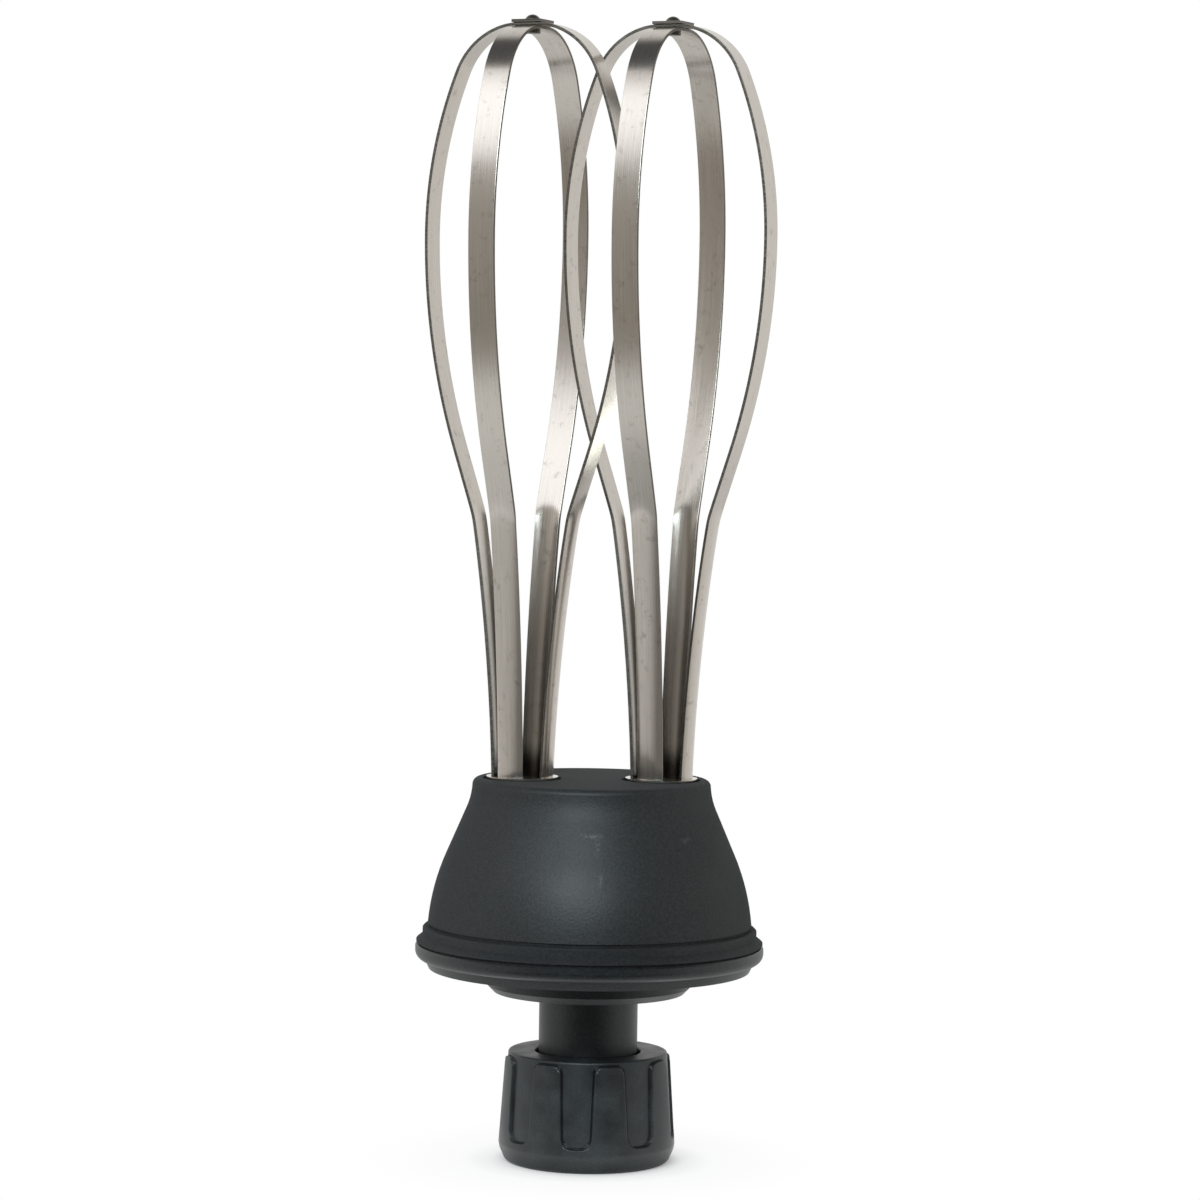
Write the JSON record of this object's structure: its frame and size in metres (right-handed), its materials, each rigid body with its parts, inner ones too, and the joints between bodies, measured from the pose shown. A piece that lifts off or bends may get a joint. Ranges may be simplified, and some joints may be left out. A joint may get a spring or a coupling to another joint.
{
  "type": "immersion blender whisk attachment",
  "caption": "Twin-whisk attachment for a stick blender: steel strip whisks that turn against each other on a bell-shaped black gearbox with a fluted coupling nut.",
  "frame": {"origin": "centre of the coupling nut's lower end, on the surface that the attachment stands on", "axes": "+Z along the drive axis towards the whisk tips, +X from the left whisk to the right whisk, -Y towards the viewer"},
  "size_m": [0.0756, 0.0752, 0.2464],
  "materials": {
    "housing_plastic": "fine spark grain",
    "nut_plastic": "satin",
    "strip_steel": "rolled strip, brushed along its length",
    "polished_steel": "turned and polished",
    "turned_steel": "turned",
    "spring_steel": "oil-hardened",
    "bush_bronze": "sintered bronze",
    "gear_acetal": "moulded acetal",
    "seal_rubber": "matte"
  },
  "bodies": {
    "gearbox": {"gear_housing": "housing_plastic", "gear_cover": "housing_plastic", "cover_gasket": "seal_rubber", "cover_screws": "turned_steel", "nut_retaining_ring": "spring_steel", "upper_drive_bush": "bush_bronze", "lower_drive_bush": "bush_bronze", "left_upper_bush": "bush_bronze", "left_lower_bush": "bush_bronze", "left_lip_seal": "seal_rubber", "right_upper_bush": "bush_bronze", "right_lower_bush": "bush_bronze", "right_lip_seal": "seal_rubber"},
    "left_whisk": {"left_upper_strip": "strip_steel", "left_lower_strip": "strip_steel", "left_tip_plate": "strip_steel", "left_tip_rivet": "turned_steel", "left_ferrule": "polished_steel", "left_spindle": "turned_steel", "left_gear_clip": "spring_steel", "left_cluster_gear": "gear_acetal"},
    "right_whisk": {"right_upper_strip": "strip_steel", "right_lower_strip": "strip_steel", "right_tip_plate": "strip_steel", "right_tip_rivet": "turned_steel", "right_ferrule": "polished_steel", "right_spindle": "turned_steel", "right_gear_clip": "spring_steel", "right_gear": "gear_acetal"},
    "drive": {"drive_pinion_shaft": "turned_steel", "drive_coupling": "turned_steel", "coupling_pin": "turned_steel"},
    "nut": {"coupling_nut": "nut_plastic"}
  },
  "joints": [
    {"name": "left_whisk_spin", "type": "hinge", "parent": "gearbox", "child": "left_whisk", "pos_m": [-0.015, 0, 0.06], "axis": [0, 0, 1], "continuous": true},
    {"name": "right_whisk_spin", "type": "hinge", "parent": "gearbox", "child": "right_whisk", "pos_m": [0.015, 0, 0.06], "axis": [0, 0, 1], "continuous": true},
    {"name": "drive_spin", "type": "hinge", "parent": "gearbox", "child": "drive", "pos_m": [0, 0, 0.03], "axis": [0, 0, 1], "continuous": true},
    {"name": "nut_spin", "type": "hinge", "parent": "gearbox", "child": "nut", "pos_m": [0, 0, 0.01], "axis": [0, 0, 1], "continuous": true}
  ],
  "couplings": [
    {"joint": "right_whisk_spin", "follows": "left_whisk_spin", "ratio": -1},
    {"joint": "drive_spin", "follows": "left_whisk_spin", "ratio": -4}
  ]
}
